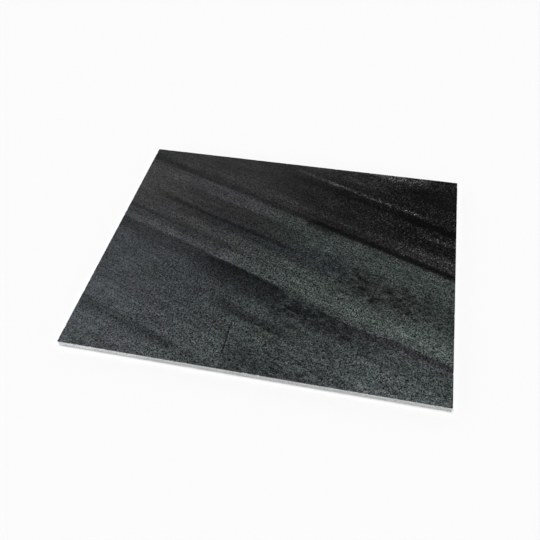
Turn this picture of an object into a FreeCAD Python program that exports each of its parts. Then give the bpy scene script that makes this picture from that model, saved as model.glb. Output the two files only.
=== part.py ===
import FreeCAD, Part
import Sketcher

import math
import os

# A thin granite work slab for cutting, paring and gluing leather on.
#
# It is a sawn stone plate with a reinforced back, because a stone plate this thin cracks on its own.
# From the top down it is made of:
#   granite_plate   the stone itself, with a fine chamfer round its working face
#   bond_coat       the resin that glues the glass net to the stone
#   net_weft_yarns  the net's yarns that run along the slab, sunk into the bond coat
#   net_warp_yarns  the net's yarns that run across the slab, sunk into the seal coat
#   seal_coat       the resin that covers the net, and that the slab rests on
#
# Frame: millimetres, +X along the slab, +Y towards its back edge, +Z up.
# The origin is the centre of the underside.

PARTS_FOLDER = "parts"

# alias, value in millimetres, what it is
DRIVING_SIZES = [
    ("slab_length", 305.0, "along X"),
    ("slab_width", 250.0, "along Y"),
    ("slab_height", 5.0, "stone and both coats"),
    ("corner_radius", 0.8, "the four upright corners"),
    ("edge_chamfer", 0.4, "round the working face"),
    ("coat_thickness", 0.4, "each of the two resin coats"),
    ("yarn_thickness", 0.2, "a flat yarn, and its groove's depth"),
    ("yarn_breadth", 1.0, "a flat yarn, and its groove's breadth"),
    ("yarn_pitch", 5.0, "from one yarn to the next"),
]

LENGTHWAYS = {"axis": "Y_Axis", "run": "sizes.slab_length", "across": "sizes.slab_width"}
CROSSWAYS = {"axis": "X_Axis", "run": "sizes.slab_width", "across": "sizes.slab_length"}

TOLERANCE = 1e-6


def make_sizes(doc):
    """The spreadsheet that drives every piece."""
    sheet = doc.addObject("Spreadsheet::Sheet", "sizes")
    for row, (alias, value, note) in enumerate(DRIVING_SIZES, start=1):
        sheet.set(f"A{row}", alias)
        sheet.set(f"B{row}", str(value))
        sheet.set(f"C{row}", note)
        sheet.setAlias(f"B{row}", alias)
    doc.recompute()
    return sheet


def origin_feature(body, role):
    """One of the body's own origin planes or axes."""
    return next(item for item in body.Origin.OriginFeatures if item.Role == role)


def centred_rectangle(body, name, length, width):
    """A rectangle sketch centred on the body's origin, its sides bound to two expressions."""
    sketch = body.newObject("Sketcher::SketchObject", name)
    sketch.AttachmentSupport = (origin_feature(body, "XY_Plane"), [""])
    sketch.MapMode = "FlatFace"
    corners = [FreeCAD.Vector(x, y, 0) for x, y in ((-1, -1), (1, -1), (1, 1), (-1, 1))]
    for start, end in zip(corners, corners[1:] + corners[:1]):
        sketch.addGeometry(Part.LineSegment(start, end), False)
    for side in range(4):
        sketch.addConstraint(Sketcher.Constraint("Coincident", side, 2, (side + 1) % 4, 1))
        sketch.addConstraint(Sketcher.Constraint("Vertical" if side % 2 else "Horizontal", side))
    sketch.addConstraint(Sketcher.Constraint("Symmetric", 0, 1, 2, 1, -1, 1))
    for axis, side, label, expression in (
        ("DistanceX", 0, "length", length),
        ("DistanceY", 1, "width", width),
    ):
        number = sketch.addConstraint(Sketcher.Constraint(axis, side, 1, side, 2, 2.0))
        sketch.renameConstraint(number, label)
        sketch.setExpression(f"Constraints.{label}", expression)
    sketch.Visibility = False
    return sketch


def edge_names(shape, wanted):
    """The names of the edges of a shape for which wanted(edge) is true."""
    return [f"Edge{n}" for n, edge in enumerate(shape.Edges, start=1) if wanted(edge)]


def is_upright(edge):
    box = edge.BoundBox
    return box.XLength < TOLERANCE and box.YLength < TOLERANCE


def new_body(doc, name, lift=None):
    """An empty body whose label names its file, raised off the ground by an expression."""
    body = doc.addObject("PartDesign::Body", name)
    body.Label = name
    if lift:
        body.setExpression("Placement.Base.z", lift)
    return body


def plate(doc, body, thickness):
    """The slab's outline as a plate with its four upright corners rounded."""
    outline = centred_rectangle(body, f"{body.Name}_outline", "sizes.slab_length", "sizes.slab_width")
    pad = body.newObject("PartDesign::Pad", f"{body.Name}_pad")
    pad.Profile = outline
    pad.setExpression("Length", thickness)
    doc.recompute()
    corners = body.newObject("PartDesign::Fillet", f"{body.Name}_corners")
    corners.Base = (pad, edge_names(pad.Shape, is_upright))
    corners.setExpression("Radius", "sizes.corner_radius")
    doc.recompute()
    return corners


def yarn_sketch(body, name, direction):
    """The outline of one yarn, on the outermost of the places that the yarns take."""
    sides = (direction["run"], "sizes.yarn_breadth")
    length, width = sides if direction is LENGTHWAYS else reversed(sides)
    sketch = centred_rectangle(body, name, length, width)
    offset = "y" if direction is LENGTHWAYS else "x"
    first_place = f"-(floor({direction['across']} / sizes.yarn_pitch) - 1) / 2 * sizes.yarn_pitch"
    sketch.setExpression(f"AttachmentOffset.Base.{offset}", first_place)
    return sketch


def repeat(doc, body, feature, direction):
    """Repeats a feature at the net's pitch, as many times as the slab has room for."""
    pattern = body.newObject("PartDesign::LinearPattern", f"{body.Name}_pattern")
    pattern.Originals = [feature]
    pattern.Direction = (origin_feature(body, direction["axis"]), [""])
    pattern.Mode = "Spacing"
    pattern.setExpression("Offset", "sizes.yarn_pitch")
    pattern.setExpression("Occurrences", f"floor({direction['across']} / sizes.yarn_pitch)")
    body.Tip = pattern
    doc.recompute()
    return pattern


def make_granite_plate(doc):
    """The stone: everything above the two coats, with a chamfer round its working face."""
    body = new_body(doc, "granite_plate", "2 * sizes.coat_thickness")
    corners = plate(doc, body, "sizes.slab_height - 2 * sizes.coat_thickness")
    top = corners.Shape.BoundBox.ZMax
    chamfer = body.newObject("PartDesign::Chamfer", "granite_plate_arris")
    chamfer.Base = (corners, edge_names(corners.Shape, lambda e: e.BoundBox.ZMin > top - TOLERANCE))
    chamfer.setExpression("Size", "sizes.edge_chamfer")
    doc.recompute()
    return body


def make_coat(doc, name, lift, direction, groove_face):
    """A resin coat with a groove for each yarn, cut into its upper or its lower face."""
    body = new_body(doc, name, lift)
    plate(doc, body, "sizes.coat_thickness")
    groove = yarn_sketch(body, f"{name}_groove", direction)
    pocket = body.newObject("PartDesign::Pocket", f"{name}_pocket")
    pocket.Profile = groove
    pocket.setExpression("Length", "sizes.yarn_thickness")
    if groove_face == "upper":
        groove.setExpression("AttachmentOffset.Base.z", "sizes.coat_thickness")
    else:
        pocket.Reversed = True
    doc.recompute()
    repeat(doc, body, pocket, direction)
    return body


def make_yarns(doc, name, lift, direction):
    """One set of the net's parallel yarns, each a separate flat solid."""
    body = new_body(doc, name, lift)
    body.AllowCompound = True
    pad = body.newObject("PartDesign::Pad", f"{name}_yarn")
    pad.Profile = yarn_sketch(body, f"{name}_outline", direction)
    pad.setExpression("Length", "sizes.yarn_thickness")
    doc.recompute()
    repeat(doc, body, pad, direction)
    return body


def yarn_places(sheet, direction):
    """How many yarns lie across the slab."""
    across = sheet.slab_width if direction is LENGTHWAYS else sheet.slab_length
    return int(across // sheet.yarn_pitch)


def check(doc, sheet, bodies):
    """Stops the build if anything failed, or if a piece doesn't hold what its sizes say."""
    for item in doc.Objects:
        if {"Invalid", "Error"} & set(item.State):
            raise RuntimeError(f"{item.Name} failed: {item.State}")
    for body in bodies:
        if body.Shape.isNull() or not body.Shape.isValid():
            raise RuntimeError(f"{body.Label} has no valid shape")
    yarn_section = sheet.yarn_breadth * sheet.yarn_thickness
    upright_corners = (4 - math.pi) * sheet.corner_radius**2
    outline = sheet.slab_length * sheet.slab_width - upright_corners
    for direction, coat, yarns, run in (
        (LENGTHWAYS, "bond_coat", "net_weft_yarns", sheet.slab_length),
        (CROSSWAYS, "seal_coat", "net_warp_yarns", sheet.slab_width),
    ):
        count = yarn_places(sheet, direction)
        yarn_volume = count * run * yarn_section
        solids = doc.getObject(yarns).Shape.Solids
        found = doc.getObject(yarns).Shape.Volume
        left = outline * sheet.coat_thickness - doc.getObject(coat).Shape.Volume
        if len(solids) != count or abs(found - yarn_volume) > TOLERANCE * yarn_volume:
            raise RuntimeError(f"{yarns}: {len(solids)} solids of {found:.3f} mm3")
        if abs(left - yarn_volume) > TOLERANCE * yarn_volume:
            raise RuntimeError(f"{coat}: its grooves hold {left:.3f} mm3, not {yarn_volume:.3f}")


def main():
    doc = FreeCAD.newDocument("granite_slab")
    sheet = make_sizes(doc)
    bodies = [
        make_granite_plate(doc),
        make_coat(doc, "bond_coat", "sizes.coat_thickness", LENGTHWAYS, "lower"),
        make_yarns(doc, "net_weft_yarns", "sizes.coat_thickness", LENGTHWAYS),
        make_yarns(doc, "net_warp_yarns", "sizes.coat_thickness - sizes.yarn_thickness", CROSSWAYS),
        make_coat(doc, "seal_coat", None, CROSSWAYS, "upper"),
    ]
    doc.recompute()
    check(doc, sheet, bodies)
    os.makedirs(PARTS_FOLDER, exist_ok=True)
    for body in bodies:
        box = body.Shape.BoundBox
        print(
            f"{body.Label}: {len(body.Shape.Solids)} solids, "
            f"{box.XLength:.2f} x {box.YLength:.2f} x {box.ZLength:.2f} mm, "
            f"z {box.ZMin:.2f} to {box.ZMax:.2f}"
        )
        body.Shape.exportStep(os.path.join(PARTS_FOLDER, f"{body.Label}.step"))


main()
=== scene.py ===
# %% [markdown]
# # A granite slab for leatherwork
#
# The real object is a thin sheet of dark, banded granite. A leatherworker lays it on the bench to
# pare, glue and tool leather on. Its true size isn't known, so it is built about as large as
# a magazine and five millimetres thick, like others of its kind. Its back isn't known either.
# Stone this thin cracks easily and is often sold with a glass net in two coats of resin on its
# back, so this one is given that.
#
# The measured model is loaded first and stays as it is. Every piece made below lies exactly
# where a part of that model lies, and stands for it.

# %% Load the measured model
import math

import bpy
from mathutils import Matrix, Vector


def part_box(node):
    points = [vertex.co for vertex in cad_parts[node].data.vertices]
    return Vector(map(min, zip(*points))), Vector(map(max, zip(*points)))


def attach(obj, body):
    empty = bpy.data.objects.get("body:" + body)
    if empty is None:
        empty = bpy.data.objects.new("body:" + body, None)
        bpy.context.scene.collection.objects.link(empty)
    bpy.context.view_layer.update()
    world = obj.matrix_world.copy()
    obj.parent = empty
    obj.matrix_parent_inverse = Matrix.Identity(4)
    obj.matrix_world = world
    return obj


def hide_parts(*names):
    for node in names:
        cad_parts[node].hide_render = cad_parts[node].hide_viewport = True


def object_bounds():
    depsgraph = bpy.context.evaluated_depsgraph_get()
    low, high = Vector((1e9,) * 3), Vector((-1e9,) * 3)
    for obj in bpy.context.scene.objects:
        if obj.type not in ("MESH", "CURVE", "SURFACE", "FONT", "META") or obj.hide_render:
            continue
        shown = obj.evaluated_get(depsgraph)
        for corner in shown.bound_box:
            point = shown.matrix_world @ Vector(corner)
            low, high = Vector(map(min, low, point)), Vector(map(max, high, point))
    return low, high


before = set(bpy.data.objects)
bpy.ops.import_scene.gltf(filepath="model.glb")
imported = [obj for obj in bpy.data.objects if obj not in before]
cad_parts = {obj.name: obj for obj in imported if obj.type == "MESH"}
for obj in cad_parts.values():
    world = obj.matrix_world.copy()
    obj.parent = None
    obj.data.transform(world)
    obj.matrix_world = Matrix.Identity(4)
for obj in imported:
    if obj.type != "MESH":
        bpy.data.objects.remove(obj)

# %% [markdown]
# The size of the measured model is kept now, because the finished slab may not outgrow it.
# Blender works in metres. Stone and glass are easier to think about in millimetres, so MM turns
# one into the other.

MM = 0.001
CAD_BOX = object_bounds()
SLAB_LENGTH, SLAB_WIDTH, SLAB_HEIGHT = CAD_BOX[1] - CAD_BOX[0]
print(f"slab: {SLAB_LENGTH / MM:.1f} x {SLAB_WIDTH / MM:.1f} x {SLAB_HEIGHT / MM:.1f} mm")

# %% [markdown]
# ## The camera
#
# A camera can be placed by typing its position, but a product photographer thinks of it another
# way: which point it looks at, from how far, from which side and how steeply. So this camera is
# placed by a target, a distance, an azimuth and an elevation, and turned a little about its own
# view, as a camera held in the hand is.

# %% Place the camera
CAMERA_TARGET = Vector((-3.0, -20.0, 5.0)) * MM
CAMERA_DISTANCE = 535.2 * MM
CAMERA_AZIMUTH = math.radians(13.53)
CAMERA_ELEVATION = math.radians(48.16)
CAMERA_ROLL = math.radians(-2.06)
SENSOR_WIDTH = 36.0
LENS_LENGTH = 41.5


def direction(azimuth, elevation):
    """The unit vector from the slab towards something at an azimuth and an elevation."""
    level = math.cos(elevation)
    return Vector((math.sin(azimuth) * level, -math.cos(azimuth) * level, math.sin(elevation)))


def aim(item, back, target, distance, roll=0.0):
    """Puts a camera or a lamp at a distance from its target and points it there."""
    turn = back.to_track_quat("Z", "Y").to_matrix() @ Matrix.Rotation(roll, 3, "Z")
    item.rotation_euler = turn.to_euler()
    item.location = target + back * distance


bpy.ops.object.camera_add()
camera = bpy.context.object
camera.data.sensor_width = SENSOR_WIDTH
camera.data.lens = LENS_LENGTH
camera_side = direction(CAMERA_AZIMUTH, CAMERA_ELEVATION)
aim(camera, camera_side, CAMERA_TARGET, CAMERA_DISTANCE, CAMERA_ROLL)
bpy.context.scene.camera = camera
print("camera at", [round(c / MM) for c in camera.location], "mm")

# %% [markdown]
# ## The studio
#
# Dark stone on a white table is a high-key picture: the table is almost pure white and has only
# the softest shadow. A lamp that hangs close would light the middle of a large table and leave
# its far end grey. A sun lamp lights all of it alike, and a wide one casts a shadow as soft as
# a big lamp's. Honed stone is lit partly by what it mirrors, and seen from here it mirrors what
# is above its back edge. So the lamp stands nearly overhead, out of that mirror. The room is
# bright near the horizon, where it joins the table, and dim further up, which a gradient on the
# world's own direction gives. So the table is white, and the stone can stay nearly black.

# %% Set the table
TABLE_SIZE = 60.0


def rgba(red, green, blue):
    return (red, green, blue, 1.0)


bpy.ops.mesh.primitive_plane_add(size=TABLE_SIZE)
table = bpy.context.object
table.name = "table"
white = bpy.data.materials.new("white table")
white.use_nodes = True
paint = white.node_tree.nodes["Principled BSDF"]
paint.inputs["Base Color"].default_value = rgba(0.86, 0.86, 0.86)
paint.inputs["Roughness"].default_value = 0.9
paint.inputs["Specular IOR Level"].default_value = 0.1
table.data.materials.append(white)
print("table:", TABLE_SIZE, "m across, so that it reaches the horizon")

# %% Light the studio
LAMP_BREADTH = math.radians(36)
LAMP_POWER = 2.85
LAMP_SIDE = direction(math.radians(225), math.radians(84))
LAMP_DISTANCE = 2.2
ROOM_AT_THE_HORIZON = 0.965
ROOM_OVERHEAD = 0.08
BRIGHT_UP_TO = 0.22
DIM_FROM = 0.58

bpy.ops.object.light_add(type="SUN")
lamp = bpy.context.object
lamp.name = "soft_light"
lamp.data.angle = LAMP_BREADTH
lamp.data.energy = LAMP_POWER
aim(lamp, LAMP_SIDE, Vector(), LAMP_DISTANCE)

world = bpy.data.worlds.new("studio room")
bpy.context.scene.world = world
world.use_nodes = True
room = world.node_tree
compass = room.nodes.new("ShaderNodeTexCoord")
height = room.nodes.new("ShaderNodeSeparateXYZ")
room.links.new(compass.outputs["Generated"], height.inputs[0])
walls = room.nodes.new("ShaderNodeValToRGB")
walls.color_ramp.interpolation = "EASE"
walls.color_ramp.elements[0].position = BRIGHT_UP_TO
walls.color_ramp.elements[0].color = rgba(*[ROOM_AT_THE_HORIZON] * 3)
walls.color_ramp.elements[1].position = DIM_FROM
walls.color_ramp.elements[1].color = rgba(*[ROOM_OVERHEAD] * 3)
room.links.new(height.outputs["Z"], walls.inputs["Fac"])
room.links.new(walls.outputs["Color"], room.nodes["Background"].inputs["Color"])

bpy.context.scene.view_settings.view_transform = "Standard"
for name, height_in_the_room in (("bright up to", BRIGHT_UP_TO), ("dim from", DIM_FROM)):
    print("room:", name, round(math.degrees(math.asin(height_in_the_room))), "degrees up")

# %% [markdown]
# ## Modelling by hand, in code
#
# Each piece starts as a primitive and is shaped in edit mode. An operator works on whatever is
# selected, so `choose` first clears the selection and then picks vertices, edges or faces by
# where they are or which way they face.

# %% Pick things in a mesh
def only(piece):
    """Makes a piece the one selected and active object."""
    if bpy.context.mode != "OBJECT":
        bpy.ops.object.mode_set(mode="OBJECT")
    bpy.ops.object.select_all(action="DESELECT")
    piece.select_set(True)
    bpy.context.view_layer.objects.active = piece


def choose(piece, kind, wanted):
    """Selects the vertices, edges or faces of a piece that are wanted, and stays in edit mode."""
    only(piece)
    bpy.ops.object.mode_set(mode="EDIT")
    bpy.ops.mesh.select_mode(type=kind)
    bpy.ops.mesh.select_all(action="DESELECT")
    bpy.ops.object.mode_set(mode="OBJECT")
    mesh = piece.data
    items = {"VERT": mesh.vertices, "EDGE": mesh.edges, "FACE": mesh.polygons}[kind]
    chosen = 0
    for item in items:
        if wanted(item):
            item.select = True
            chosen += 1
    bpy.ops.object.mode_set(mode="EDIT")
    return chosen


def describe(piece):
    """Prints how many triangles a piece has, and how large it is."""
    mesh = piece.data
    triangles = sum(len(face.vertices) - 2 for face in mesh.polygons)
    size = " x ".join(f"{side / MM:.2f}" for side in piece.dimensions)
    print(f"{piece.name}: {triangles} triangles, {size} mm")


# %% [markdown]
# ## The form of a plate
#
# The stone and both coats of resin are plates, each with one face that deserves a fine grid and
# a rim that is seen from the side. A cube has no faces to spare for that, and slicing one hundreds
# of times is slow. A grid is the better start: it is the fine face already. Its four corners
# are rounded, its outer edge is cut finer than the rest, and then that edge is extruded, ring
# by ring, over the arris and down the side. The last ring is closed with one face. HAIR is
# a hair's breadth: places that lie closer together than that count as the same place.

# %% Build a plate from a grid
HAIR = 0.01 * MM


def build_plate(name, cell, rim_cuts, profile):
    """A plate whose rim follows a profile of (set back from the slab's edge, height) pairs."""
    (set_back, face_height), *rings = profile
    half = Vector((SLAB_LENGTH / 2, SLAB_WIDTH / 2))
    bpy.ops.object.select_all(action="DESELECT")
    bpy.ops.mesh.primitive_grid_add(
        x_subdivisions=round(SLAB_LENGTH / cell),
        y_subdivisions=round(SLAB_WIDTH / cell),
        size=1,
        location=(0, 0, face_height),
    )
    plate = bpy.context.object
    plate.name = name
    plate.scale = (2 * (half.x - set_back), 2 * (half.y - set_back), 1)
    bpy.ops.object.transform_apply(location=True, rotation=False, scale=True)
    round_corners(plate)
    choose(plate, "EDGE", lambda edge: False)
    bpy.ops.mesh.select_non_manifold()
    bpy.ops.mesh.subdivide(number_cuts=rim_cuts, ngon=False)
    bpy.ops.mesh.select_all(action="DESELECT")
    bpy.ops.mesh.select_non_manifold()
    for ring_set_back, height in rings:
        widen = [(side - ring_set_back) / (side - set_back) for side in half]
        bpy.ops.mesh.extrude_edges_move(
            TRANSFORM_OT_translate={"value": (0, 0, height - face_height)}
        )
        bpy.ops.transform.resize(value=(*widen, 1), center_override=(0, 0, 0))
        set_back, face_height = ring_set_back, height
    bpy.ops.mesh.edge_face_add()
    bpy.ops.mesh.select_all(action="SELECT")
    bpy.ops.mesh.normals_make_consistent(inside=False)
    bpy.ops.object.mode_set(mode="OBJECT")
    return plate


CORNER_RADIUS = 0.8 * MM
CORNER_SEGMENTS = 4


def round_corners(plate):
    """Rounds the four corners of a flat grid."""
    places = [vertex.co for vertex in plate.data.vertices]
    reach = Vector((max(place.x for place in places), max(place.y for place in places)))
    choose(
        plate,
        "VERT",
        lambda v: abs(v.co.x) > reach.x - HAIR and abs(v.co.y) > reach.y - HAIR,
    )
    bpy.ops.mesh.bevel(offset=CORNER_RADIUS, segments=CORNER_SEGMENTS, affect="VERTICES")


# %% [markdown]
# ## The stone plate
#
# The working face is ground flat and honed, the sides are left as the diamond saw cut them, and
# a few strokes of a hand pad take the sharpness off the arris, the edge between them. The profile
# below runs from the honed face, over the eased arris and down the sawn side to the resin. The
# arris's curve is told in shares of its breadth: how far in from the side, and how far down.

# %% Model the stone plate
STONE_LOW, STONE_HIGH = (corner.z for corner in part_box("granite_plate"))
ARRIS = 0.4 * MM
ARRIS_CURVE = ((1, 0), (0.55, 0.14), (0.22, 0.45))
LOWER_EDGE = 0.1 * MM
STONE_CELL = 1.5 * MM
STONE_SIDE_ROWS = 8


def down_the_side(start, end, rows):
    """Evenly spaced rings from the start of a side to its end, none of them set back."""
    return [(0.0, start + (end - start) * row / rows) for row in range(rows + 1)]


stone_profile = [
    *((back * ARRIS, STONE_HIGH - down * ARRIS) for back, down in ARRIS_CURVE),
    *down_the_side(STONE_HIGH - ARRIS, STONE_LOW + LOWER_EDGE, STONE_SIDE_ROWS),
    (LOWER_EDGE, STONE_LOW),
]
stone = build_plate("stone_plate", STONE_CELL, rim_cuts=2, profile=stone_profile)
describe(stone)

# %% [markdown]
# ### Saw marks, chips and a face that isn't quite flat
#
# The Displace modifier moves vertices by the lightness of a texture. The texture is read from an
# empty, so scaling and tilting the empty scales and tilts the pattern. A noise a little over half
# a millimetre across and very tall gives the scratches of a saw blade, a cell pattern gives
# scattered chips, and a broad noise gives the honed face its slight waves. A vertex group keeps
# each to its own part of the plate, and all the groups are made before anything moves. Every
# move goes into the stone and never out of it.

# %% Wear into the stone
def mark_group(piece, name, weight):
    """A vertex group that holds the vertices whose weight, from 0 to 1, isn't nothing."""
    only(piece)
    group = piece.vertex_groups.new(name=name)
    for vertex in piece.data.vertices:
        amount = weight(vertex.co)
        if amount > 0:
            group.add([vertex.index], amount, "REPLACE")
    return group.name


def wear(piece, texture, group, depth, grain, tilt=(0, 0, 0), way="NORMAL", middle=1.0):
    """Presses a texture into a group of vertices. Grain is the pattern's size each way, in metres."""
    only(piece)
    bpy.ops.object.empty_add()
    ruler = bpy.context.object
    ruler.scale = grain
    ruler.rotation_euler = tilt
    only(piece)
    displace = piece.modifiers.new(texture.name, "DISPLACE")
    displace.texture = texture
    displace.texture_coords = "OBJECT"
    displace.texture_coords_object = ruler
    displace.vertex_group = group
    displace.direction = way
    displace.strength = depth
    displace.mid_level = middle
    bpy.context.view_layer.update()
    bpy.ops.object.modifier_apply(modifier=displace.name)
    bpy.data.objects.remove(ruler)


def pattern(name, kind, contrast=1.0):
    texture = bpy.data.textures.new(name, kind)
    texture.noise_scale = 1.0
    texture.contrast = contrast
    return texture


CHIP_REACH = 1.3 * MM
SCRATCH_DEPTH = 0.1 * MM
SCRATCH_SIZE = (0.6 * MM, 0.6 * MM, 14 * MM)
BLADE_TILT = 0.3
WAVE_DEPTH = 0.05 * MM
WAVE_SIZE = 9 * MM
sawn = mark_group(stone, "sawn side", lambda co: float(co.z < STONE_HIGH - 0.5 * ARRIS))
honed = mark_group(stone, "honed face", lambda co: float(co.z > STONE_HIGH - HAIR))
arris = mark_group(
    stone,
    "arris",
    lambda co: (co.z < STONE_HIGH - HAIR) * max(0.0, 1 - (STONE_HIGH - co.z) / CHIP_REACH),
)
saw_scratches = pattern("saw scratches", "CLOUDS", contrast=1.6)
blade = (BLADE_TILT, BLADE_TILT, 0)
wear(stone, saw_scratches, sawn, SCRATCH_DEPTH, SCRATCH_SIZE, tilt=blade, middle=1.2)
honing = pattern("honing", "CLOUDS")
wear(stone, honing, honed, WAVE_DEPTH, (WAVE_SIZE, WAVE_SIZE, WAVE_SIZE), way="Z")
describe(stone)

# %% [markdown]
# A chip is a small shell-shaped bite where a grain broke out of the arris. The cell texture is
# darkest at the middle of each cell, so a steep ramp keeps only those middles, and the arris
# loses a little stone where one of them happens to touch it.

# %% Chip the arris
CHIP_DEPTH = 0.5 * MM
CHIP_SPACING = 5 * MM
CHIP_HEART = 0.12
CHIP_RIM = 0.3

chips = pattern("chips", "VORONOI")
chips.use_color_ramp = True
chips.color_ramp.elements[0].position = CHIP_HEART
chips.color_ramp.elements[0].color = rgba(0, 0, 0)
chips.color_ramp.elements[1].position = CHIP_RIM
chips.color_ramp.elements[1].color = rgba(1, 1, 1)
wear(stone, chips, arris, CHIP_DEPTH, (CHIP_SPACING, CHIP_SPACING, CHIP_SPACING))
bpy.ops.object.shade_smooth_by_angle(angle=math.radians(35))
describe(stone)

# %% [markdown]
# ## A small kit for materials
#
# A material is a tree of nodes. A few helpers keep the trees short to write: `add` makes a node
# and fills its sockets by name, `sum_of` and `product_of` do the arithmetic, and `ramp` is
# a smooth step from one value to another. The Mix node has several sockets of the same name, one
# for each kind of data, so its colour sockets are picked by number.

# %% Add and join nodes
def fill(tree, node, sockets):
    """Sets each named socket to a value, or links it to another node's output."""
    for name, value in sockets.items():
        if isinstance(value, bpy.types.NodeSocket):
            tree.links.new(value, node.inputs[name])
        else:
            node.inputs[name].default_value = value
    return node


def add(tree, kind, sockets=None, **settings):
    """A shader node with its settings made and its sockets filled."""
    node = tree.nodes.new("ShaderNode" + kind)
    for name, value in settings.items():
        setattr(node, name, value)
    return fill(tree, node, sockets or {})


def maths(tree, operation, *values):
    node = add(tree, "Math", dict(enumerate(values)), operation=operation)
    return node.outputs[0]


def sum_of(tree, *values):
    total = values[0]
    for value in values[1:]:
        total = maths(tree, "ADD", total, value)
    return total


def product_of(tree, *values):
    total = values[0]
    for value in values[1:]:
        total = maths(tree, "MULTIPLY", total, value)
    return total


def ramp(tree, value, start, end, low=0.0, high=1.0):
    """A smooth step: low before start, high after end."""
    node = add(
        tree,
        "MapRange",
        {"Value": value, "From Min": start, "From Max": end, "To Min": low, "To Max": high},
        interpolation_type="SMOOTHSTEP",
    )
    return node.outputs["Result"]


def spread(tree, value, amount):
    """Turns a value round 0.5 into one round 0, as strong as the amount."""
    return maths(tree, "MULTIPLY_ADD", value, amount, -amount / 2)


MIX_SHARE, MIX_FIRST, MIX_SECOND, MIX_RESULT = 0, 6, 7, 2


def blend(tree, share, first, second, way="MIX"):
    """A colour between two others, or with MULTIPLY their product."""
    node = add(tree, "Mix", data_type="RGBA", blend_type=way)
    fill(tree, node, {MIX_SHARE: share, MIX_FIRST: first, MIX_SECOND: second})
    return node.outputs[MIX_RESULT]


def new_material(name):
    """A material with nodes, and its tree and shader."""
    material = bpy.data.materials.new(name)
    material.use_nodes = True
    return material, material.node_tree, material.node_tree.nodes["Principled BSDF"]


def millimetres(tree):
    """The place on the piece in millimetres."""
    place = add(tree, "TexCoord").outputs["Object"]
    scale = (1 / MM, 1 / MM, 1 / MM)
    return add(tree, "Mapping", {"Vector": place, "Scale": scale}).outputs["Vector"]


def noise(tree, place, size, detail=2.0, roughness=0.5):
    """Noise whose lumps are so many millimetres across, with one size or a size each way."""
    sizes = size if isinstance(size, tuple) else (size, size, size)
    scaled = add(tree, "Mapping", {"Vector": place, "Scale": tuple(1 / side for side in sizes)})
    sockets = {"Vector": scaled.outputs[0], "Scale": 1.0, "Detail": detail, "Roughness": roughness}
    return add(tree, "TexNoise", sockets).outputs["Fac"]


# %% [markdown]
# ## Granite, from its crystals up
#
# Up close, this granite is a mosaic of crystals a little over half a millimetre across, dark and
# pale like pepper and salt. A Voronoi texture is such a mosaic, and gives each cell a random
# colour. One channel of that colour makes the crystal lighter or darker, another tints it
# a little, and the third makes it more or less glossy. The honed face and the sawn sides are the
# same stone, so both materials start from the same crystals.

# %% Grow the crystals
CRYSTAL = 0.56
print("crystals:", CRYSTAL, "mm across")


def crystals(tree, place):
    """Each crystal's three random numbers, and the distance to its middle."""
    bend = noise(tree, place, 1.2)
    bent = add(tree, "VectorMath", {0: place, 1: bend}, operation="ADD").outputs[0]
    cells = add(tree, "TexVoronoi", {"Vector": bent, "Scale": 1 / CRYSTAL})
    parts = add(tree, "SeparateColor", {"Color": cells.outputs["Color"]}).outputs
    return parts["Red"], parts["Green"], parts["Blue"], cells.outputs["Distance"]


# %% [markdown]
# ### The bands
#
# This stone is bedded: it lies in layers that heat and pressure drew out, and they cross the slab
# at about twenty degrees. A picture of stone would be easy to paste on, but it would belong to
# one slab, and a single noise never looks like bedding. So the bands are placed one by one. Each
# has a top and a foot across the bedding, each of them sharp or soft, its own beginning and end
# along it, and its own strength. Strength is in stops, as a photographer counts: one stop more is
# twice as light.
#
# The bands share one node group, which is a small machine that is built once and used for each.

# %% Build the band machine
BAND_SOCKETS = (
    "Along", "Across", "Dashes",
    "Top", "Soft top", "Foot", "Soft foot", "From", "Fade in", "To", "Fade out",
    "Broken", "Strength",
)


def build_band_machine():
    """A group that gives one band's share at a place, told along and across the bedding."""
    group = bpy.data.node_groups.new("band", "ShaderNodeTree")
    for name in BAND_SOCKETS:
        group.interface.new_socket(name, in_out="INPUT", socket_type="NodeSocketFloat")
    group.interface.new_socket("Share", in_out="OUTPUT", socket_type="NodeSocketFloat")
    told = group.nodes.new("NodeGroupInput").outputs

    def step(value, middle, reach, low, high):
        start = maths(group, "SUBTRACT", middle, reach)
        end = maths(group, "ADD", middle, reach)
        return ramp(group, value, start, end, low, high)

    share = product_of(
        group,
        step(told["Across"], told["Foot"], told["Soft foot"], 0.0, 1.0),
        step(told["Across"], told["Top"], told["Soft top"], 1.0, 0.0),
        step(told["Along"], told["From"], told["Fade in"], 0.0, 1.0),
        step(told["Along"], told["To"], told["Fade out"], 1.0, 0.0),
        ramp(group, told["Dashes"], 0.0, 1.0, maths(group, "SUBTRACT", 1.0, told["Broken"]), 1.0),
        told["Strength"],
    )
    group.links.new(share, group.nodes.new("NodeGroupOutput").inputs["Share"])
    return group


band_machine = build_band_machine()
print("band machine:", len(band_machine.nodes), "nodes")
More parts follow.
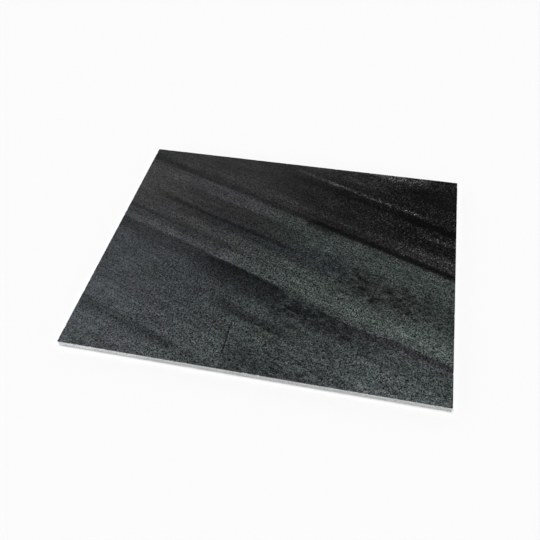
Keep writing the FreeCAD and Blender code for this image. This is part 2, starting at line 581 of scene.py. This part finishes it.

# %% [markdown]
# Each line of the list is one band. First come its top and its foot across the bedding and how
# soft each of them is, then where it starts and ends along the bedding and how soft that is, then
# how broken into dashes it is, from 0 to 1, and last its strength in stops. All but the last
# two are in millimetres, and places are counted from the slab's centre. The list goes roughly
# from the back edge to the front, and the broad shades over a whole end or corner come last.
# These broad shades, and the dark end of the upper beds, are partly the stone's own tone and
# partly painted sheen and painted shade. The pale strip along the back and the lighter left end
# near the front are painted sheen. The short list after the bands says in the same way where
# soft black blots lie.

# %% List the bands
BEDDING_DIP = math.radians(20.4)
FAR = 900.0
BANDS = {
    #                           top  soft   foot soft   from  soft   to  soft broken stops
    "upper beds":              (FAR,  1,     49,  1.5,  -FAR,   1,  FAR,   1,  0.0, -0.55),
    # Partly the stone's own tone, partly painted shade: the upper beds darken towards the right
    "upper beds' dark end, partly painted shade":    (FAR,  1,     49,  1.5,     4,  86,  FAR,   1,  0.0, -1.75),
    "darker above the strip":  (FAR,  1,     68,  6.0,   -20,  95,  FAR,   1,  0.0, -1.10),
    "back edge":               (FAR,  1,    141,  4.0,    24,  12,   76,   9,  0.3,  2.40),
    # Painted sheen: a lighter strip along the back edge
    "painted sheen along the back":    (FAR,  1,    118,  7.0,   -70,  20,   42,  12,  0.2,  1.10),
    "back bed":                (147,  3,    129,  2.0,    60,  16,  FAR,   1,  0.2, -1.60),
    "bed in front of it":      (129,  3,    112,  2.0,    46,  12,  104,  14,  0.3, -0.65),
    "pale thread, left":       (110.5, 1,   106.5, 1,    -42,   6,    0,  12,  0.4,  1.50),
    "pale thread":             (110, 0.8,   106.5, 0.8,   -5,  12,   98,   5,  0.5,  2.20),
    "shade under the thread":  (105.5, 1,    96,  1.5,   -10,  35,  FAR,   1,  0.1, -0.90),
    "core of the shade":       (102,  1,     96.5, 1.0,   -50,  30,  FAR,   1,  0.1, -0.40),
    "its darkest part":        (104,  2,     96,  1.0,    74,  14,  FAR,   1,  0.1, -1.60),
    "echo of the thread":      (90,   2,     74,  2.0,     2,   5,   16,   6,  0.4,  0.90),
    "pale mottle":             (80,   2,     71,  2.0,    38,   6,   58,   6,  0.6,  0.90),
    "right hand thread":       (88.5, 0.8,   84,  0.8,   102,   5,  FAR,   1,  0.4,  2.30),
    "strip above the seam":    (70,   4,     61,  2.0,  -FAR,   1,  FAR,   1,  0.3,  0.32),
    "right hand gleam":        (69,   3,     62,  1.5,    90,  18,  FAR,   1,  0.3,  0.85),
    "bright end of it":        (72,   2,     63,  1.5,   122,   5,  FAR,   1,  0.2,  0.60),
    "hair above the seam":     (61.5, 0.8,   57.5, 0.8,  -14,   6,   46,  10,  0.1, -0.60),
    "right hand bed":          (61,   2,     54.5, 0.8,   75,  20,  FAR,   1,  0.2,  1.00),
    "main seam":               (55.5, 1.2,   50,  0.8,  -FAR,   1,  FAR,   1,  0.1, -0.60),
    "main seam, right":        (55,   0.8,   50.5, 0.8,    5,  14,  FAR,   1,  0.1, -1.25),
    "blot under the seam":     (52,   1,     44.5, 2.5,    3,   3,   42,  20,  0.0, -1.30),
    "dusk bed":                (34.5, 1.0,    0,  3.0,  -115,  75,    0,  36,  0.1, -1.05),
    "bed right of it":         (21,   4,     -1.5, 1.5,    0,  30,  FAR,   1,  0.5, -0.75),
    "black mottle":            (19,   4,     -7,  3.0,    68,  10,  136,   8,  0.9, -0.45),
    "second seam":             (12.5, 0.8,    8,  0.8,  -135,  24,   14,  16,  0.2, -1.20),
    "shade below it":          (4,    4,    -24,  1.5,  -FAR,   1,  -58,  24,  0.1, -0.35),
    "thin seam":               (-13,  1,    -18,  1.0,  -FAR,   1,  -30,  22,  0.1, -0.60),
    "pale streak":             (-17,  2,    -30.5, 0.8,  -44,   6,  FAR,   1,  0.3,  0.30),
    "heart of the streak":     (-23,  2,    -30,  0.8,   -44,   4,  -22,  12,  0.3,  0.30),
    "pale bed":                (-10,  5,    -30.5, 0.8,   40,  30,  FAR,   1,  0.1,  0.35),
    "pale streak, left":       (-24.5, 2,   -30.5, 0.8, -FAR,   1,  -44,   6,  0.2,  0.35),
    "wedge":                   (-31.5, 0.6, -46,  7.0,  -FAR,   1,   24,   8,  0.1, -0.65),
    "wedge, deep":             (-31.5, 0.6, -55,  5.0,   -50,  24,   30,   4,  0.1, -1.05),
    "wedge's edge":            (-31.5, 0.6, -37,  1.0,   -52,   8,   22,   4,  0.1, -0.70),
    "wedge, right":            (-36,  0.8,  -55,  5.0,    28,   4,  105,  35,  0.5, -1.60),
    "dark spot":               (-43,  1,    -48,  1.0,    44,   4,   56,   5,  0.1, -0.80),
    "wedge's tail":            (-36.5, 1,   -41,  1.0,    80,   8,  122,  10,  0.2, -0.60),
    "wedge's last tail":       (-32,  1,    -37,  1.0,   120,   6,  FAR,   1,  0.2, -1.00),
    "low spot":                (-58,  1,    -64,  1.0,    44,   4,   56,   4,  0.2, -0.80),
    "low bed":                 (-67.5, 1,   -76,  1.2,   -16,   8,   54,   8,  0.2, -1.10),
    "pale front":              (-102, 2,   -122,  1.0,  -FAR,   1,   16,   6,  0.2,  0.30),
    "front blot":              (-98,  2,   -FAR,  1.0,    26,   6,  FAR,   1,  0.4, -0.50),
    "low seam":                (-123.5, 1, -130,  1.5,  -FAR,   1,   -8,  12,  0.2, -0.40),
    "heart of the low seam":   (-125, 1,   -129,  1.0,   -50,   8,  -28,  10,  0.2, -0.40),
    "pale corner":             (-133, 1.5, -FAR,  1.0,  -FAR,   1,  FAR,   1,  0.1,  0.40),
    # Broad shades: partly the stone's own tone, partly painted sheen and painted shade
    "far right corner":        (FAR,  1,     72,  4.0,    68,  18,  FAR,   1,  0.1, -0.55),
    "right end":               (46,   3,   -FAR,  1.0,   100,  30,  FAR,   1,  0.1,  0.20),
    # Painted sheen: the near left of the slab is painted lighter
    "near left":               (30,  20,   -FAR,  1.0,  -FAR,   1,  -75,  50,  0.0,  0.35),
    "pale foot":               (-59,  3,   -FAR,  1.0,   110,  25,  FAR,   1,  0.2,  0.55),
    "front":                   (-78,  6,   -FAR,  1.0,  -FAR,   1,  FAR,   1,  0.0,  0.17),
}

BLOTS = {
    "blots in the mottle":     (20,   5,     -8,  4.0,    60,  14,  138,  10,  0.0, -1.70),
    "blots in the wedge":      (-35,  2,    -57,  6.0,    14,  10,  112,  24,  0.0, -1.20),
    "blots at the front":      (-84,  8,   -FAR,  1.0,    22,  12,  FAR,   1,  0.0, -0.60),
}
print(len(BANDS), "bands and", len(BLOTS), "blotted ones")

# %% [markdown]
# Laid out so neatly, the bands would look ruled. Real ones wander and fray, so the height across
# the bedding is pushed about before the bands read it: slowly by a broad noise and quickly by
# a fine one, both drawn out along the bedding. A crystal belongs to one band or to the next,
# never to both, so each also takes its own random step across. That makes the bands end crystal
# by crystal. Between them lie fainter streaks and a mottle, which are noise alone, drawn out along
# the bedding. In a few places the low spots of that mottle turn into soft black blots. All these
# sizes are in millimetres along, across and down, and so is how far a height is pushed.

# %% Lay the bands out
WANDER_SIZE, WANDER_REACH = (90, 40, 40), 2.4
FRAY_SIZE, FRAY_REACH = (7, 3, 3), 2.6
DASH_SIZE = (6, 3, 3)
CRYSTAL_STEP = 1.8
MOTTLE_SIZE = (6.5, 4, 4)
STREAKS = {
    #                size               detail stops
    "fine streaks":  ((60, 1.6, 1.6),   2,     1.5),
    "wide streaks":  ((30, 5, 5),       2,     0.7),
    "loose clouds":  ((16, 9, 9),       3,     0.9),
}
print(len(STREAKS), "kinds of streak lie between the bands")


def bedded(tree, place, random_step):
    """Where a place lies along and across the bedding, and how broken the bands are there."""
    turned = {"Vector": place, "Rotation": (0, 0, BEDDING_DIP)}
    bedding = add(tree, "Mapping", turned).outputs[0]
    axes = add(tree, "SeparateXYZ", {"Vector": bedding}).outputs
    wander = spread(tree, noise(tree, bedding, WANDER_SIZE, detail=2), WANDER_REACH)
    fray = spread(tree, noise(tree, bedding, FRAY_SIZE, detail=3, roughness=0.6), FRAY_REACH)
    across = sum_of(tree, axes["Y"], wander, fray, spread(tree, random_step, CRYSTAL_STEP))
    dashes = ramp(tree, noise(tree, bedding, DASH_SIZE, detail=1), 0.42, 0.6)
    return bedding, axes["X"], across, dashes


def band_share(tree, name, numbers, along, across, dashes):
    """One band's strength at a place."""
    band = add(tree, "Group", node_tree=band_machine, label=name)
    fill(tree, band, dict(zip(BAND_SOCKETS, (along, across, dashes, *numbers))))
    return band.outputs["Share"]


def bedded_tone(tree, bedding, along, across, dashes):
    """How light the stone is before its crystals, in stops."""
    mottle = noise(tree, bedding, MOTTLE_SIZE, detail=2)
    to_the_right = ramp(tree, along, -60.0, 60.0, 0.1, 1.0)
    streaks = [
        spread(tree, noise(tree, bedding, size, detail=detail), stops)
        for size, detail, stops in STREAKS.values()
    ]
    tone = sum_of(tree, *streaks, product_of(tree, spread(tree, mottle, 1.8), to_the_right))
    for name, numbers in BANDS.items():
        tone = sum_of(tree, tone, band_share(tree, name, numbers, along, across, dashes))
    blot = ramp(tree, mottle, 0.46, 0.34)
    for name, numbers in BLOTS.items():
        share = band_share(tree, name, numbers, along, across, dashes)
        tone = sum_of(tree, tone, product_of(tree, share, blot))
    return tone


# %% [markdown]
# ### Tints in the stone
#
# Dark granite is never plain grey. Here it is greenish under the main seam and bluish at the near
# left, and some beds and patches have a colour of their own. They are placed with the same band
# machine, whose strength is now a share of colour: 1 is all of the tint and 0 is none of it.

# %% List the tints
NEUTRAL = rgba(0.99, 1.00, 1.00)
TINTS = {
    #                 top  soft   foot soft   from soft    to  soft broken share    colour
    "green ground":  ((48,   3,  -FAR,   1,   -35,  50,  FAR,   1,  0.0,  1.0), (0.77, 1.00, 0.90)),
    "blue ground":   ((-20, 35,  -FAR,   1,  -FAR,   1,  -10,  50,  0.0,  1.0), (0.87, 0.99, 1.08)),
    "teal ground":   ((-36,  8,  -FAR,   1,    10,  40,  FAR,   1,  0.0,  0.8), (0.82, 1.00, 1.01)),
    "blue wedge":    ((-31,  2,   -54,   8,   -60,  30,   30,  20,  0.2,  0.6), (0.85, 0.99, 1.12)),
    "purple bed":    ((50,   3,    35,   5,  -118,  16,  -35,  25,  0.6,  0.9), (1.03, 0.95, 1.17)),
    "blue seam":     ((15,   3,     2,   3,   -70,  20,   70,  25,  0.5,  0.9), (0.84, 0.97, 1.22)),
    "brown mottle":  ((16,   6,   -10,   6,    76,  14,  128,  12,  0.9,  0.6), (1.06, 0.98, 0.92)),
    "violet tail":   ((-31,  2,   -42,   3,    96,  14,  FAR,   1,  0.6,  0.7), (1.05, 0.94, 1.20)),
    "moss":          ((-76,  3,   -86,   3,    32,   5,   48,   5,  0.3,  0.6), (0.92, 1.04, 0.82)),
    "teal patch":    ((34,   6,    12,   8,    18,  10,   62,  14,  0.6,  0.7), (0.76, 1.02, 1.06)),
}
print(len(TINTS), "tints")


def tinted(tree, along, across, dashes, patches, hue):
    """The stone's tint: the placed ones, then loose patches, then each crystal's own."""
    tint = NEUTRAL
    for name, (numbers, colour) in TINTS.items():
        share = band_share(tree, name, numbers, along, across, dashes)
        tint = blend(tree, share, tint, rgba(*colour))
    tint = blend(tree, ramp(tree, patches, 0.54, 0.70, 0.0, 0.5), tint, rgba(1.00, 0.96, 1.12))
    tint = blend(tree, ramp(tree, patches, 0.46, 0.30, 0.0, 0.5), tint, rgba(0.86, 1.06, 0.96))
    tint = blend(tree, ramp(tree, hue, 0.7, 1.0, 0.0, 0.5), tint, rgba(1.20, 0.98, 0.84))
    return blend(tree, ramp(tree, hue, 0.3, 0.0, 0.0, 0.5), tint, rgba(0.80, 1.00, 1.18))


# %% [markdown]
# ### The vein
#
# One thin dark vein runs straight from the front towards the back and cuts the beds, as a crack
# that filled up later does. It is one more band, but it is told the slab's own Y as the place
# along it and the slab's own X as the place across it.

# %% Place the vein
VEIN = (-21.4, 0.2, -22.4, 0.2, -112, 4, -83, 3, 0.2, -2.4)
print("vein:", VEIN[6] - VEIN[4], "mm long")

# %% [markdown]
# ### The honed face
#
# The tone in stops becomes a reflectance as a power of two. The crystals are added to it first:
# each one's own lightness, a few paler still and some much darker, and loose clusters, the darkest
# of them darker again. They stand out most at the right and sink into a quieter stone at the far
# left. Above the main seam, towards the right, the ground is nearly black and pale grains lie in
# it like salt.

# %% Work out how light the honed face is
GROUND_TONE = -4.62
honed_granite, tree, shader = new_material("honed granite")
place = millimetres(tree)
lightness, hue, gloss, middle = crystals(tree, place)
bedding, along, across, dashes = bedded(tree, place, hue)
tone = bedded_tone(tree, bedding, along, across, dashes)

clusters = noise(tree, place, 1.7, detail=2)
each_crystal = spread(tree, lightness, 3.0)
paler_ones = ramp(tree, lightness, 0.94, 1.0, 0.0, 0.4)
darker_ones = ramp(tree, lightness, 0.36, 0.0, 0.0, -3.6)
loose_clusters = spread(tree, clusters, 1.6)
dark_clusters = ramp(tree, clusters, 0.43, 0.31, 0.0, -2.6)
grain = sum_of(tree, each_crystal, paler_ones, darker_ones, loose_clusters, dark_clusters)

vivid_at_the_right = ramp(tree, along, -140.0, 20.0, 0.46, 0.97)
upper_beds = ramp(tree, across, 56.0, 90.0)
vivid_up_there = ramp(tree, along, -60.0, 90.0, -0.30, 0.95)
vivid = sum_of(tree, vivid_at_the_right, product_of(tree, upper_beds, vivid_up_there))
axes = add(tree, "SeparateXYZ", {"Vector": place}).outputs
crooked = sum_of(tree, axes["X"], spread(tree, noise(tree, place, 6), 1.6))
vein = band_share(tree, "vein", VEIN, axes["Y"], crooked, dashes)
pale_grains = ramp(tree, lightness, 0.80, 0.95, 0.0, 1.5)
above_the_seam = ramp(tree, across, 47.0, 55.0)
salt = product_of(tree, pale_grains, ramp(tree, along, 0.0, 95.0), above_the_seam)
stops = sum_of(tree, tone, vein, product_of(tree, grain, vivid), salt, GROUND_TONE)
reflectance = maths(tree, "POWER", 2.0, stops)
print("tone of the honed face:", len(tree.nodes), "nodes")

# %% [markdown]
# Tone and tint meet here: the grey of each place is multiplied by its tint. Honed stone has
# a satin gloss, and its crystals glint one by one, because each was ground to its own smoothness
# and stands a hair's breadth higher or lower than the next. So the roughness takes each
# crystal's own gloss, and a bump far finer than the mesh lifts the pale ones.

# %% Finish the honed face
patches = noise(tree, place, 11, detail=3)
tint = tinted(tree, along, across, dashes, patches, hue)
grey = add(tree, "CombineColor", {name: reflectance for name in ("Red", "Green", "Blue")})
colour = blend(tree, 1.0, grey.outputs[0], tint, way="MULTIPLY")

relief = sum_of(tree, product_of(tree, middle, -0.6), product_of(tree, lightness, 0.4), clusters)
bump = add(tree, "Bump", {"Height": relief, "Strength": 0.5, "Distance": 0.03 * MM})
fill(
    tree,
    shader,
    {
        "Base Color": colour,
        "Roughness": maths(tree, "MULTIPLY_ADD", gloss, 0.14, 0.28),
        "Specular IOR Level": 0.06,
        "Normal": bump.outputs[0],
    },
)
print("honed granite:", len(tree.nodes), "nodes")

# %% [markdown]
# ### The sawn side
#
# A diamond blade crushes the surface of the crystals that it passes, and crushed crystals are
# pale, like scratched glass. So the same dark stone is light grey on its sawn sides. The blade
# leaves fine slanting lines. They are modelled in the side already, and the material adds
# finer ones between, with a little of the dark stone showing through. The front side is palest
# at its left end, so the material is made lighter towards that end.

# %% Finish the sawn side
SAWN_GREY = 0.62
PALER_AT_LEFT_END = 1.35
LINE_TILT = 0.35
sawn_granite, tree, shader = new_material("sawn granite")
place = millimetres(tree)
lightness, _, gloss, _ = crystals(tree, place)
leaning = add(tree, "Mapping", {"Vector": place, "Rotation": (LINE_TILT, LINE_TILT, 0)}).outputs[0]
lines = noise(tree, leaning, (0.35, 0.35, 9), detail=2)
blotches = noise(tree, place, (14, 14, 3), detail=3)
stops = sum_of(
    tree,
    spread(tree, lightness, 0.5),
    spread(tree, lines, 0.9),
    spread(tree, blotches, 0.9),
    product_of(tree, ramp(tree, lightness, 0.12, 0.02), -0.9),
)
axes = add(tree, "SeparateXYZ", {"Vector": place}).outputs
# The sawn stone is made lighter towards the slab's left end
paler_to_the_left = ramp(tree, axes["X"], -40.0, -150.0, 1.0, PALER_AT_LEFT_END)
reflectance = product_of(tree, maths(tree, "POWER", 2.0, stops), SAWN_GREY, paler_to_the_left)
sockets = {"Red": product_of(tree, reflectance, 0.97), "Green": reflectance, "Blue": reflectance}
colour = add(tree, "CombineColor", sockets)
relief = sum_of(tree, lines, product_of(tree, lightness, 0.4))
bump = add(tree, "Bump", {"Height": relief, "Strength": 0.6, "Distance": 0.06 * MM})
fill(
    tree,
    shader,
    {
        "Base Color": colour.outputs[0],
        "Roughness": maths(tree, "MULTIPLY_ADD", gloss, 0.15, 0.7),
        "Specular IOR Level": 0.3,
        "Normal": bump.outputs[0],
    },
)
print("sawn granite:", len(tree.nodes), "nodes")

# %% [markdown]
# A piece may have several material slots, and each face names one. The honed stone takes every
# face to begin with. The faces below the arris are then chosen by height, and given the second.

# %% Put both finishes on the stone
def finish_faces(piece, material, wanted):
    """Gives a piece one more material, on the faces that are wanted."""
    piece.data.materials.append(material)
    only(piece)
    piece.active_material_index = len(piece.data.materials) - 1
    chosen = choose(piece, "FACE", wanted)
    bpy.ops.object.material_slot_assign()
    bpy.ops.object.mode_set(mode="OBJECT")
    print(f"{material.name} on {chosen} faces of {piece.name}")


SAWN_BELOW = STONE_HIGH - 0.95 * ARRIS
finish_faces(stone, honed_granite, lambda face: True)
finish_faces(stone, sawn_granite, lambda face: face.center.z < SAWN_BELOW)

# %% [markdown]
# ## The two coats of resin
#
# The first coat glues the glass net to the stone and the second buries it. At the sides they show
# as a milky line that stops a little short of the stone, because the saw melts and drags it. Both
# are plates like the stone, with a rim that wanders. Below, the second coat has sunk between
# the yarns as it set, so the net prints through it. Its fine grid is on the underside, so its
# profile starts there and runs up.

# %% Model the coats
BOND_LOW, BOND_HIGH = (corner.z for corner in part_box("bond_coat"))
SEAL_LOW, SEAL_HIGH = (corner.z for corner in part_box("seal_coat"))
RESIN_SET_BACK = 0.05 * MM
RESIN_SIDE_ROWS = 3
YARN_PITCH = 5.0 * MM
BOND_CELL = 3 * MM
SEAL_CELL = YARN_PITCH / 4


def resin_profile(start, end):
    """From one face of a coat to the other, with both edges a little rounded."""
    step = (end - start) / RESIN_SIDE_ROWS
    sides = [(RESIN_SET_BACK, start + step * row) for row in range(1, RESIN_SIDE_ROWS)]
    first = [(3 * RESIN_SET_BACK, start), (RESIN_SET_BACK, start + step / 3)]
    return [*first, *sides, (2 * RESIN_SET_BACK, end)]


bond = build_plate("bond_resin", BOND_CELL, 5, resin_profile(BOND_HIGH, BOND_LOW))
seal = build_plate("seal_resin", SEAL_CELL, 2, resin_profile(SEAL_LOW, SEAL_HIGH))
describe(bond)
describe(seal)

# %% Let the rims wander and the net print through
RIM_REACH = 1.0 * MM
DRIP_DEPTH = 0.2 * MM
DRIP_SIZE = (4 * MM, 4 * MM, 1 * MM)
SLUMP_DEPTH = 0.2 * MM
SLUMP_SIZE = (7 * MM, 7 * MM, 7 * MM)


def on_the_rim(co):
    """1 at the slab's outline, falling to 0 at the rim's reach inside it."""
    inside = min(SLAB_LENGTH / 2 - abs(co.x), SLAB_WIDTH / 2 - abs(co.y))
    return max(0.0, 1 - inside / RIM_REACH)


def between_yarns(co):
    """0 along every yarn and 1 in the middle of each mesh of the net, on the underside."""
    if co.z > SEAL_LOW + HAIR:
        return 0.0
    across_wefts = math.cos(math.pi * co.y / YARN_PITCH) ** 2
    across_warps = math.sin(math.pi * co.x / YARN_PITCH) ** 2
    return across_wefts * across_warps


drips = pattern("drips", "CLOUDS", contrast=1.3)
for coat in (bond, seal):
    rim = mark_group(coat, "rim", on_the_rim)
    wear(coat, drips, rim, DRIP_DEPTH, DRIP_SIZE)
print_through = mark_group(seal, "meshes", between_yarns)
slump = pattern("slump", "CLOUDS")
wear(seal, slump, print_through, SLUMP_DEPTH, SLUMP_SIZE)
for coat in (bond, seal):
    only(coat)
    bpy.ops.object.shade_smooth_by_angle(angle=math.radians(40))
    describe(coat)

# %% [markdown]
# ## The glass net
#
# The net is woven from flat yarns of glass fibre. A yarn rides over one crossing yarn and dives
# under the next, so its line is a wave as high as it is thick. One yarn is modelled: an oval
# section is stood up, drawn out step by step along the wave with extrude, and so closed at both
# ends. An Array modifier then lays its copies two places apart. The yarns between them start on
# the wave's other half, and so do the yarns that cross them, or they would run into each other.

# %% Model one yarn and lay out its copies
YARN_BREADTH = 1.0 * MM
YARN_THICKNESS = 0.2 * MM
YARN_SIDES = 8
STEPS_PER_PITCH = 3
WEFT_LOW, WEFT_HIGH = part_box("net_weft_yarns")
WARP_LOW, WARP_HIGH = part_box("net_warp_yarns")
NET_HEIGHT = (WEFT_LOW.z + WARP_HIGH.z) / 2


def model_yarn(length, place, rise):
    """One waving yarn along X, at a place along Y. It starts upwards if rise is 1."""
    bpy.ops.object.select_all(action="DESELECT")
    bpy.ops.mesh.primitive_circle_add(vertices=YARN_SIDES, radius=0.5, fill_type="NGON")
    yarn = bpy.context.object
    yarn.scale = (YARN_THICKNESS, YARN_BREADTH, 1)
    yarn.rotation_euler = (0, math.radians(90), 0)
    yarn.location = (-length / 2, place, NET_HEIGHT)
    bpy.ops.object.transform_apply(location=True, rotation=True, scale=True)
    bpy.ops.object.mode_set(mode="EDIT")
    bpy.ops.mesh.select_all(action="SELECT")
    step = YARN_PITCH / STEPS_PER_PITCH
    heights = [
        rise * YARN_THICKNESS / 2 * math.sin(math.pi * number / STEPS_PER_PITCH)
        for number in range(round(length / step) + 1)
    ]
    for before, after in zip(heights, heights[1:]):
        move = (step, 0, after - before)
        bpy.ops.mesh.extrude_region_move(TRANSFORM_OT_translate={"value": move})
    bpy.ops.mesh.select_all(action="SELECT")
    bpy.ops.mesh.normals_make_consistent(inside=False)
    bpy.ops.object.mode_set(mode="OBJECT")
    return yarn


def lay_copies(yarn, count):
    """Copies of a yarn, two places apart."""
    copies = yarn.modifiers.new("every second place", "ARRAY")
    copies.use_relative_offset = False
    copies.use_constant_offset = True
    copies.constant_offset_displace = (0, 2 * YARN_PITCH, 0)
    copies.count = count
    bpy.ops.object.modifier_apply(modifier=copies.name)


def weave(name, length, low, high, rise, turn):
    """All the yarns of one direction, between low and high, turned about Z into their place."""
    count = round((high - low - YARN_BREADTH) / YARN_PITCH) + 1
    first = low + YARN_BREADTH / 2
    odd = model_yarn(length, first + YARN_PITCH, -rise)
    lay_copies(odd, count // 2)
    yarns = model_yarn(length, first, rise)
    lay_copies(yarns, count - count // 2)
    yarns.name = name
    odd.select_set(True)
    bpy.ops.object.join()
    yarns.rotation_euler = (0, 0, turn)
    bpy.ops.object.transform_apply(location=False, rotation=True, scale=False)
    bpy.ops.object.shade_smooth_by_angle(angle=math.radians(60))
    print(f"{name}: {count} yarns")
    return yarns


wefts = weave("weft_yarns", SLAB_LENGTH, WEFT_LOW.y, WEFT_HIGH.y, 1, 0.0)
warps = weave("warp_yarns", SLAB_WIDTH, WARP_LOW.x, WARP_HIGH.x, -1, math.radians(90))
describe(wefts)
describe(warps)

# %% [markdown]
# ### The resin's finish
#
# Cured polyester is milky and a little yellow. It is so thin under the net that what is behind
# it shows: white yarns, and dark stone in the meshes between. Real transparency would do this
# too, but it is slow, and it is lost when the slab is used in a game or a web page. So the
# material shows the net as stripes at the yarns' own places, softened as if seen through milk.

# %% Finish the resin
def stripes(tree, distance, first, edge):
    """1 along the yarns that lie a pitch apart from the first one, and 0 between them."""
    pitch = YARN_PITCH / MM
    turns = maths(tree, "MULTIPLY", maths(tree, "SUBTRACT", distance, first), 1 / pitch)
    away = maths(tree, "ABSOLUTE", maths(tree, "SUBTRACT", turns, maths(tree, "ROUND", turns)))
    half = 0.5 * YARN_BREADTH / MM / pitch
    return ramp(tree, away, half - edge, half + edge, 1.0, 0.0)


STRIPE_EDGE = 0.03
MILKY = rgba(0.86, 0.86, 0.83)
STONE_THROUGH_RESIN = rgba(0.17, 0.17, 0.155)
YARN_THROUGH_RESIN = rgba(0.62, 0.61, 0.57)
resin, tree, shader = new_material("milky resin")
place = millimetres(tree)
axes = add(tree, "SeparateXYZ", {"Vector": place}).outputs
weft_stripes = stripes(tree, axes["Y"], (WEFT_LOW.y + YARN_BREADTH / 2) / MM, STRIPE_EDGE)
warp_stripes = stripes(tree, axes["X"], (WARP_LOW.x + YARN_BREADTH / 2) / MM, STRIPE_EDGE)
net = maths(tree, "MAXIMUM", product_of(tree, weft_stripes, 0.75), warp_stripes)
cloud = noise(tree, place, 22, detail=4)
bubbles = add(tree, "TexVoronoi", {"Vector": place, "Scale": 0.7}).outputs["Distance"]
below = ramp(tree, axes["Z"], 0.12, 0.05)
seen = blend(tree, net, STONE_THROUGH_RESIN, YARN_THROUGH_RESIN)
seen = blend(tree, maths(tree, "MULTIPLY_ADD", cloud, 0.7, -0.1), seen, MILKY)
colour = blend(tree, below, MILKY, seen)
speck = ramp(tree, bubbles, 0.16, 0.08)
colour = blend(tree, product_of(tree, speck, 0.5), colour, rgba(0.75, 0.74, 0.70))
threads = product_of(tree, net, noise(tree, place, 0.5, detail=2))
relief = sum_of(tree, cloud, product_of(tree, threads, 0.3), product_of(tree, speck, -0.5))
bump = add(tree, "Bump", {"Height": relief, "Strength": 0.4, "Distance": 0.08 * MM})
fill(
    tree,
    shader,
    {
        "Base Color": colour,
        "Roughness": maths(tree, "MULTIPLY_ADD", cloud, 0.25, 0.25),
        "Normal": bump.outputs[0],
    },
)
print("milky resin:", len(tree.nodes), "nodes")

# %% [markdown]
# ### The yarns' finish
#
# A glass yarn is hundreds of filaments thinner than hair, which lie side by side and shine along
# their length. A noise that is very long along the yarn and very fine across it gives them, so
# each direction of the net needs its own, drawn out its own way.

# %% Finish the yarns
def finish_yarns(name, drawn_out):
    """White glass filaments, drawn out along X or along Y."""
    material, tree, shader = new_material(name)
    place = millimetres(tree)
    filaments = noise(tree, place, drawn_out, detail=3, roughness=0.65)
    soaked = noise(tree, place, 6, detail=3)
    white = blend(tree, filaments, rgba(0.52, 0.52, 0.49), rgba(0.86, 0.86, 0.84))
    colour = blend(tree, ramp(tree, soaked, 0.45, 0.75, 0.0, 0.6), white, MILKY)
    bump = add(tree, "Bump", {"Height": filaments, "Strength": 0.7, "Distance": 0.03 * MM})
    sockets = {
        "Base Color": colour,
        "Roughness": maths(tree, "MULTIPLY_ADD", filaments, 0.3, 0.3),
        "Normal": bump.outputs[0],
    }
    fill(tree, shader, sockets)
    return material


weft_glass = finish_yarns("glass filaments lengthways", (18, 0.09, 0.09))
warp_glass = finish_yarns("glass filaments crossways", (0.09, 18, 0.09))
for piece, material in (
    (bond, resin),
    (seal, resin),
    (wefts, weft_glass),
    (warps, warp_glass),
):
    finish_faces(piece, material, lambda face: True)

# %% [markdown]
# ## Hand the pieces over
#
# Every piece says which body of the model it moves with and which part it stands for. A slab
# has nothing that moves, so all ride on the root.

# %% Say what each piece stands for
for piece, node, slot in (
    (stone, "granite_plate", "granite"),
    (bond, "bond_coat", "backing_resin"),
    (wefts, "net_weft_yarns", "glass_yarn"),
    (warps, "net_warp_yarns", "glass_yarn"),
    (seal, "seal_coat", "backing_resin"),
):
    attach(piece, "root")
    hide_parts(node)
    print(f"{piece.name} stands for {node}")
